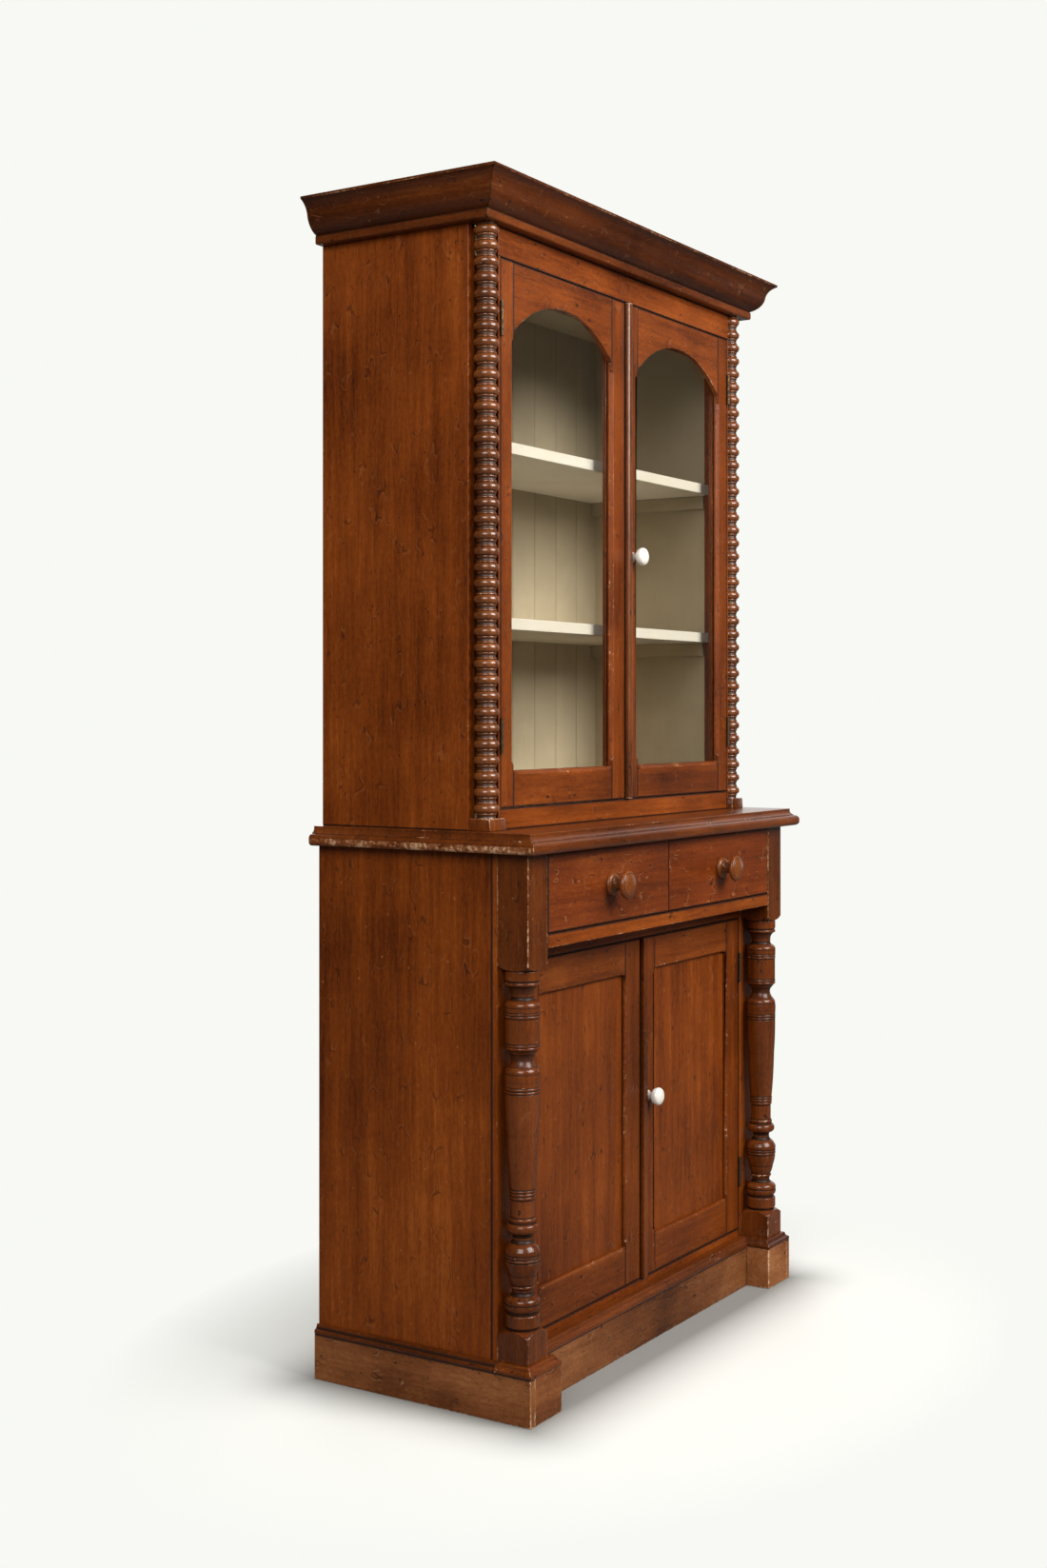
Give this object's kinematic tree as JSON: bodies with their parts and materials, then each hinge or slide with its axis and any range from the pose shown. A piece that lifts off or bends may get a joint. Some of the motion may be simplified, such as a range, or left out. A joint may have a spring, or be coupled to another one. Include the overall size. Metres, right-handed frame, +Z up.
{
  "type": "glazed bookcase cabinet",
  "caption": "Tall glazed bookcase with arched glass doors and bobbin columns, standing on a deeper base with drawers, panelled doors and turned corner posts.",
  "frame": {"origin": "on the floor, under the middle of the overall box", "axes": "+Z up, +X to the viewer's right as seen from the front, front of the cabinet towards -Y"},
  "size_m": [1.153, 0.509, 2.2],
  "materials": {
    "case_wood": "satin dark red-brown stain",
    "moulding_wood": "worn satin red-brown stain",
    "turned_wood": "glossy dark red-brown stain",
    "door_wood": "satin red-brown stain",
    "painted_wood": "matte cream paint",
    "plain_wood": "bare pine",
    "glass": "clear polished",
    "porcelain": "glossy white glaze",
    "iron": "dark satin",
    "brass": "aged satin"
  },
  "bodies": {
    "case": {"lower_left_side": "case_wood", "lower_right_side": "case_wood", "lower_bottom": "painted_wood", "lower_back_boards": "painted_wood", "lower_shelf": "painted_wood", "lower_shelf_cleats": "painted_wood", "lower_front_stiles": "case_wood", "lower_bottom_rail": "case_wood", "door_head_rail": "case_wood", "drawer_rail": "case_wood", "drawer_divider": "plain_wood", "drawer_runners": "plain_wood", "left_corner_post": "turned_wood", "right_corner_post": "turned_wood", "front_plinth": "case_wood", "side_plinths": "case_wood", "plinth_blocks": "case_wood", "plinth_caps": "moulding_wood", "waist_board": "case_wood", "upper_left_side": "case_wood", "upper_right_side": "case_wood", "upper_bottom": "painted_wood", "upper_top": "painted_wood", "upper_back_boards": "painted_wood", "low_shelf": "painted_wood", "high_shelf": "painted_wood", "upper_shelf_cleats": "painted_wood", "upper_bottom_rail": "case_wood", "frieze_rail": "case_wood", "cornice_rail": "case_wood", "upper_front_stiles": "case_wood", "left_bobbin_column": "turned_wood", "right_bobbin_column": "turned_wood", "cornice": "moulding_wood", "bed_moulding": "moulding_wood", "case_hinge_leaves": "brass"},
    "upper_left_door": {"upper_left_door_frame": "door_wood", "upper_left_glass": "glass", "upper_left_hinge_leaves": "brass"},
    "upper_right_door": {"upper_right_door_frame": "door_wood", "upper_right_glass": "glass", "upper_right_hinge_leaves": "brass", "upper_cover_bead": "moulding_wood"},
    "upper_turn": {"upper_turn_knob": "porcelain", "upper_catch": "iron"},
    "lower_left_door": {"lower_left_door_frame": "door_wood", "lower_left_panel": "door_wood", "lower_left_hinge_leaves": "brass"},
    "lower_right_door": {"lower_right_door_frame": "door_wood", "lower_right_panel": "door_wood", "lower_right_hinge_leaves": "brass", "lower_cover_bead": "moulding_wood"},
    "lower_turn": {"lower_turn_knob": "porcelain", "lower_catch": "iron"},
    "left_drawer": {"left_drawer_front": "door_wood", "left_drawer_box": "plain_wood", "left_drawer_knob": "turned_wood"},
    "right_drawer": {"right_drawer_front": "door_wood", "right_drawer_box": "plain_wood", "right_drawer_knob": "turned_wood"}
  },
  "joints": [
    {"name": "upper_left_hinge", "type": "hinge", "parent": "case", "child": "upper_left_door", "pos_m": [-0.45625, -0.1132, 1.569], "axis": [0, 0, -1], "range_deg": [0, 110]},
    {"name": "upper_right_hinge", "type": "hinge", "parent": "case", "child": "upper_right_door", "pos_m": [0.45625, -0.1132, 1.569], "axis": [0, 0, 1], "range_deg": [0, 110]},
    {"name": "lower_left_hinge", "type": "hinge", "parent": "case", "child": "lower_left_door", "pos_m": [-0.44225, -0.1482, 0.4565], "axis": [0, 0, -1], "range_deg": [0, 100]},
    {"name": "lower_right_hinge", "type": "hinge", "parent": "case", "child": "lower_right_door", "pos_m": [0.44225, -0.1482, 0.4565], "axis": [0, 0, 1], "range_deg": [0, 100]},
    {"name": "upper_knob_turn", "type": "hinge", "parent": "upper_right_door", "child": "upper_turn", "pos_m": [0.0295, -0.0985, 1.558], "axis": [0, 1, 0], "range_deg": [0, 90]},
    {"name": "lower_knob_turn", "type": "hinge", "parent": "lower_right_door", "child": "lower_turn", "pos_m": [0.0295, -0.1335, 0.478], "axis": [0, 1, 0], "range_deg": [0, 90]},
    {"name": "left_drawer_slide", "type": "slide", "parent": "case", "child": "left_drawer", "axis": [0, -1, 0], "range_m": [0, 0.3]},
    {"name": "right_drawer_slide", "type": "slide", "parent": "case", "child": "right_drawer", "axis": [0, -1, 0], "range_m": [0, 0.3]}
  ]
}
